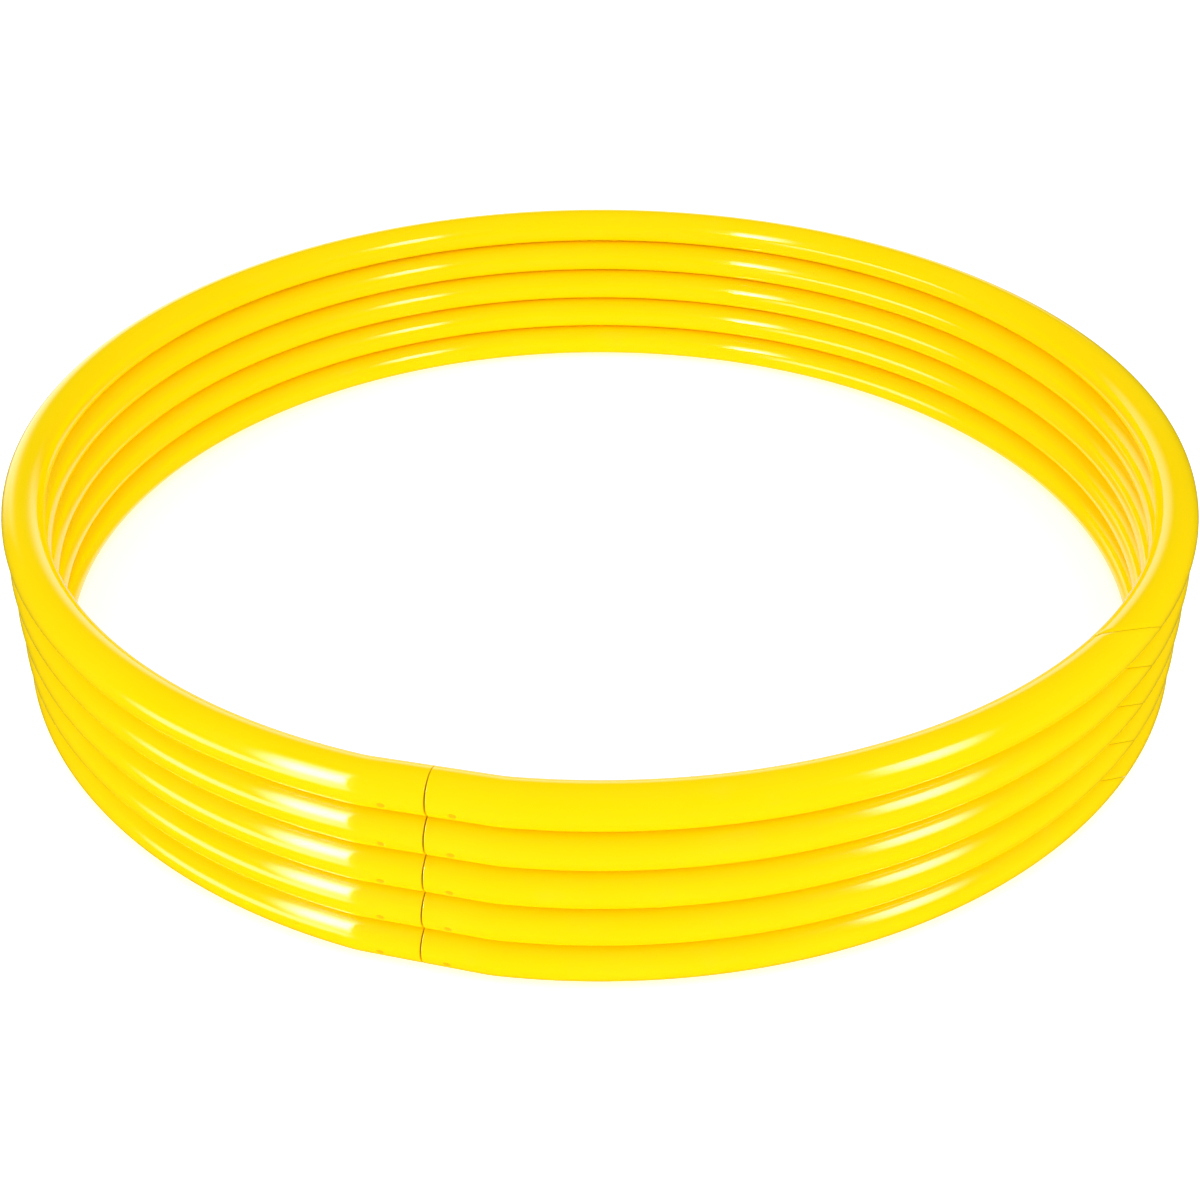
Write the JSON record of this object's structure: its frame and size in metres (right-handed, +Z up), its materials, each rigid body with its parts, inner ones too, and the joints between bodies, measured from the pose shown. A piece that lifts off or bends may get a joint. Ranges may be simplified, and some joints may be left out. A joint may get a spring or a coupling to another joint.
{
  "type": "gymnastics hoop stack",
  "caption": "Stack of round tube hoops lying on each other; each is a ring of hollow plastic tube joined end to end over hidden plugs.",
  "frame": {"origin": "centre of the hoops, on the surface that the stack stands on", "axes": "+Z up along the hoops' common axis; -Y is the front, 14 degrees to the right of the square-cut seams; +X to the right"},
  "size_m": [0.6, 0.6, 0.1012],
  "materials": {
    "tube": "glossy extruded plastic, bright yellow",
    "connector": "dull dark moulded plastic",
    "pin": "dull yellow plastic"
  },
  "bodies": {
    "hoop_1": {"hoop_1_long_tube": "tube", "hoop_1_short_tube": "tube", "hoop_1_front_connector": "connector", "hoop_1_side_connector": "connector", "hoop_1_connector_pins": "pin"},
    "hoop_2": {"hoop_2_long_tube": "tube", "hoop_2_short_tube": "tube", "hoop_2_front_connector": "connector", "hoop_2_side_connector": "connector", "hoop_2_connector_pins": "pin"},
    "hoop_3": {"hoop_3_long_tube": "tube", "hoop_3_short_tube": "tube", "hoop_3_front_connector": "connector", "hoop_3_side_connector": "connector", "hoop_3_connector_pins": "pin"},
    "hoop_4": {"hoop_4_long_tube": "tube", "hoop_4_short_tube": "tube", "hoop_4_front_connector": "connector", "hoop_4_side_connector": "connector", "hoop_4_connector_pins": "pin"},
    "hoop_5": {"hoop_5_long_tube": "tube", "hoop_5_short_tube": "tube", "hoop_5_front_connector": "connector", "hoop_5_side_connector": "connector", "hoop_5_connector_pins": "pin"}
  },
  "joints": [
    {"name": "hoop_2_lift", "type": "slide", "parent": "hoop_1", "child": "hoop_2", "axis": [0, 0, 1], "range_m": [0, 0.06]},
    {"name": "hoop_3_lift", "type": "slide", "parent": "hoop_2", "child": "hoop_3", "axis": [0, 0, 1], "range_m": [0, 0.06]},
    {"name": "hoop_4_lift", "type": "slide", "parent": "hoop_3", "child": "hoop_4", "axis": [0, 0, 1], "range_m": [0, 0.06]},
    {"name": "hoop_5_lift", "type": "slide", "parent": "hoop_4", "child": "hoop_5", "axis": [0, 0, 1], "range_m": [0, 0.06]}
  ]
}
